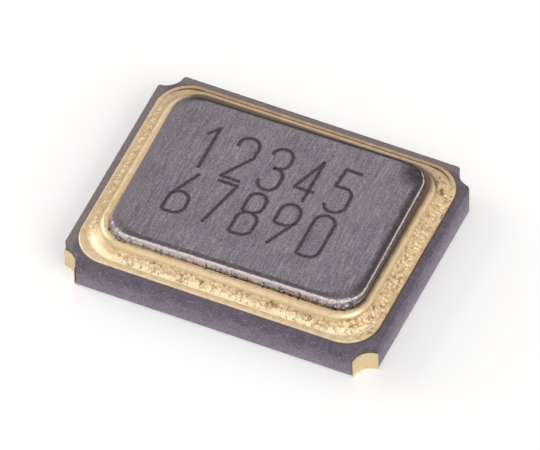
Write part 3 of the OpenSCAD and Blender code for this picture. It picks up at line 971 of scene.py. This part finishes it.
def makeStrokeTree():
    # a flat burnt line along each stroke, round at its corners and a little uneven in width
    tree, add, given = newTree("laserStroke", {
        **dict.fromkeys(("Stroke Width", "Thickness", "Spacing", "Wobble"), "Float"), "Finish": "Material"})
    turn = add("GeometryNodeInputNamedAttribute", {"Name": "round"})
    path = add("GeometryNodeMeshToCurve", {"Mesh": given["Geometry"]})
    path = add("GeometryNodeFilletCurve", {
        "Curve": path, "Count": marks["turnSteps"], "Radius": turn, "Limit Radius": True}, mode="POLY")
    path = levelPath(add, given, path)
    position = add("GeometryNodeInputPosition")
    uneven = add("TexNoise", {"Vector": position, "Scale": 1 / (marks["unevenSize"] * mm), "Detail": 1.0})
    wide = add("Math", [uneven, 0.9, 0.52], operation="MULTIPLY_ADD")
    path = add("GeometryNodeSetCurveRadius", {"Curve": path, "Radius": wide})
    drift = add("TexNoise", {
        "Vector": position, "Scale": 1 / (marks["wobbleSize"] * mm), "Detail": 1.0}).outputs["Color"]
    drift = add("VectorMath", [drift, (0.5, 0.5, 0.5)], operation="SUBTRACT")
    drift = add("VectorMath", [drift, (1, 1, 0)], operation="MULTIPLY")
    drift = add("VectorMath", [drift, given["Wobble"]], operation="SCALE")
    path = add("GeometryNodeSetPosition", {"Geometry": path, "Offset": drift})
    profile = add("GeometryNodeCurvePrimitiveCircle", {"Resolution": marks["ringSteps"], "Radius": 0.5})
    across = add("SeparateXYZ", [position]).outputs["X"]
    across = add("Math", [across], operation="ABSOLUTE")
    across = add("Math", [across, 2.0], operation="MULTIPLY")
    profile = add("GeometryNodeStoreNamedAttribute", {
        "Geometry": profile, "Name": "border", "Value": across})
    size = add("CombineXYZ", [given["Stroke Width"], given["Thickness"], 1.0])
    profile = add("GeometryNodeTransform", {"Geometry": profile, "Scale": size})
    line = add("GeometryNodeCurveToMesh", {"Curve": path, "Profile Curve": profile, "Fill Caps": True})
    finishTree(add, line, given["Finish"])
    return tree


def makeLaserMarks():
    top = boxOf("lid")[1][2] - marks["thickness"] / 2
    points, edges, rounding = [], [], []
    for rowY, digits in zip(marks["rowsY"], marks["rows"]):
        for column, digit in enumerate(digits):
            left = marks["firstX"] + marks["pitch"] * column - marks["width"] / 2
            for stroke in digitStrokes[digit]:
                edges += [(len(points) + i, len(points) + i + 1) for i in range(len(stroke) - 1)]
                for x, y, turn in stroke:
                    spot = (left + x * marks["width"], rowY + y * marks["height"], top)
                    points.append(Vector(spot) * mm)
                    rounding.append(turn * marks["rounding"] * mm)
    mesh = bpy.data.meshes.new("digitStrokes")
    mesh.from_pydata(points, edges, [])
    addMask(mesh, "round", rounding)
    return recalculated(runTree("laserMarks", makeStrokeTree(), {
        "Stroke Width": marks["stroke"] * mm, "Thickness": marks["thickness"] * mm,
        "Spacing": marks["spacing"] * mm, "Wobble": marks["wobble"] * mm, "Finish": oxide}, mesh))


laserMarks = place(makeLaserMarks(), None)

# each terminal is a pad below the base and the plating up its corner notch
terminal = {
    "gap": 0.045, "padLength": 0.95, "padWidth": 0.8, "padThickness": 0.01, "padCorner": 0.02,
    "padCornerSteps": 6, "plating": 0.008, "height": 0.22, "steps": 32,
    "bareFront": 1, "bareBehind": 24,  # degrees of the notch left bare at both ends
    "sharpAngle": 40}


def makeTerminal(number):
    # drawn for the front left corner, then mirrored to its own
    node = "terminal_%d" % number
    left, right, front, back = sidesOf(node)
    flip = [-1 if low + high > 0 else 1 for low, high in ((left, right), (front, back))]
    corner = cornerSpots(sidesOf("ceramic_base"))[3]
    notch, steps, thick = ceramic["notchRadius"], terminal["steps"], terminal["plating"]
    bare = terminal["bareBehind" if flip[1] < 0 else "bareFront"]
    near = [at + terminal["gap"] for at in corner]
    far = near[0] + terminal["padLength"], near[1] + terminal["padWidth"]
    middle, turn = notch - thick / 2, terminal["padCorner"]
    reach = math.degrees(math.asin(terminal["gap"] / middle))
    outline = arcPoints(corner, middle, 90 - reach, reach, steps)
    start, end = [at + turn for at in near], [at - turn for at in far]
    for centre, first in (((end[0], start[1]), -90), (end, 0), ((start[0], end[1]), 90)):
        outline += arcPoints(centre, turn, first, first + 90, terminal["padCornerSteps"])
    name = "terminalPlating%d" % number
    pad = addObject(name, prismMesh(name, outline, 0, terminal["padThickness"]))
    wrap = arcPoints(corner, notch, bare, 90 - bare, steps)
    wrap += arcPoints(corner, notch - thick, 90 - bare, bare, steps)
    pad = combined(pad, "UNION", [prismMesh("notchPlating", wrap, 0, terminal["height"])])
    pad.data.materials.clear()
    pad.data.materials.append(paleLitTerminalGold)
    pad.data.transform(Matrix.Diagonal((*flip, 1, 1)))
    pad.data.shade_smooth()
    pad.data.set_sharp_from_angle(angle=math.radians(terminal["sharpAngle"]))
    return place(recalculated(pad), node, "terminal_gold")


for number in range(1, 5):
    makeTerminal(number)

# the worldDiffuse level lights the scene, while the surroundings are seen at full white
stage = {
    "floorRadius": 300, "floorSteps": 72, "floorGap": 0.002, "floor": "#f4f3f2", "floorLift": 0.2,
    "world": "#ffffff", "worldDiffuse": 0.54, "lampDistance": 170}
lamps = {  # azimuth and elevation from the object, size and brightness
    "leftBox": (-95, 24, 115, 2.4),
    "rightBox": (64, 37, 105, 3.0),
    "frontBox": (0, 38, 130, 0.25),
    "topBox": (0, 80, 110, 0.2)}
camera = {
    "azimuth": 25.06, "elevation": 49.52, "roll": -1.21, "distance": 170, "lens": 1215.2,
    "aimHeight": 0.02, "right": -0.0162, "up": -0.0939, "nearest": 0.01, "farthest": 1}


def fromAngles(azimuth, elevation):
    a, e = math.radians(azimuth), math.radians(elevation)
    return Vector((math.sin(a) * math.cos(e), -math.cos(a) * math.cos(e), math.sin(e)))


def seenDirectly(add):
    # 1 where the camera sees the white surroundings, itself or in metal or glass
    path = add("LightPath").outputs
    seen = add("Math", [path["Is Camera Ray"], path["Is Glossy Ray"]], operation="MAXIMUM")
    return add("Math", [seen, path["Is Transmission Ray"]], operation="MAXIMUM")


def makeFloor():
    # plain white paper, evenly matt
    material, add, shader = newMaterial("floorPaper")
    # a little glow of its own takes the lit paper to white, the shadow on it stays
    glow = add("Math", [seenDirectly(add), stage["floorLift"]], operation="MULTIPLY")
    setSockets(shader, {"Base Color": stage["floor"], "Roughness": 0.9, "Emission Color": "#ffffff",
                        "Emission Strength": glow})
    steps = stage["floorSteps"]
    points = arcPoints((0, 0), stage["floorRadius"], 0, 360, steps, -stage["floorGap"])[:-1]
    mesh = bpy.data.meshes.new("floor")
    mesh.from_pydata([point * mm for point in points], [], [tuple(range(steps))])
    mesh.materials.append(material)
    floor = addObject("floor", mesh)


def makeWorld():
    world = bpy.data.worlds.new("studio")
    world.use_nodes = True
    add = adderFor(world.node_tree)
    strength = add("Mix", [seenDirectly(add), stage["worldDiffuse"], 1.0])
    setSockets(world.node_tree.nodes["Background"], {"Color": stage["world"], "Strength": strength})
    bpy.context.scene.world = world


def makeLamps():
    for name, (azimuth, elevation, size, level) in lamps.items():
        light = bpy.data.lights.new(name, "AREA")
        light.shape = "SQUARE"
        light.size = size * mm
        light.energy = level * math.pi * (size * mm) ** 2
        lamp = addObject(name, light)
        direction = fromAngles(azimuth, elevation)
        lamp.location = direction * stage["lampDistance"] * mm
        lamp.rotation_mode = "QUATERNION"
        lamp.rotation_quaternion = direction.to_track_quat("Z", "Y")
        lamp.visible_camera = False


def makeCamera():
    back = fromAngles(camera["azimuth"], camera["elevation"])
    level = Vector((-back.y, back.x, 0)).normalized()
    rise = back.cross(level)
    roll = math.radians(camera["roll"])
    right = math.cos(roll) * level + math.sin(roll) * rise
    up = math.cos(roll) * rise - math.sin(roll) * level
    data = bpy.data.cameras.new("camera")
    data.sensor_width = 36
    data.lens = camera["lens"]
    data.clip_start = camera["nearest"]
    data.clip_end = camera["farthest"]
    target = Vector((0, 0, camera["aimHeight"]))
    eye = target + camera["distance"] * back - camera["right"] * right - camera["up"] * up
    made = addObject("camera", data)
    made.matrix_world = Matrix.Translation(eye * mm) @ Matrix((right, up, back)).transposed().to_4x4()
    bpy.context.scene.camera = made


makeFloor()
makeWorld()
makeLamps()
makeCamera()
bpy.context.scene.view_settings.view_transform = "Standard"
print("stage, lamps and camera set")
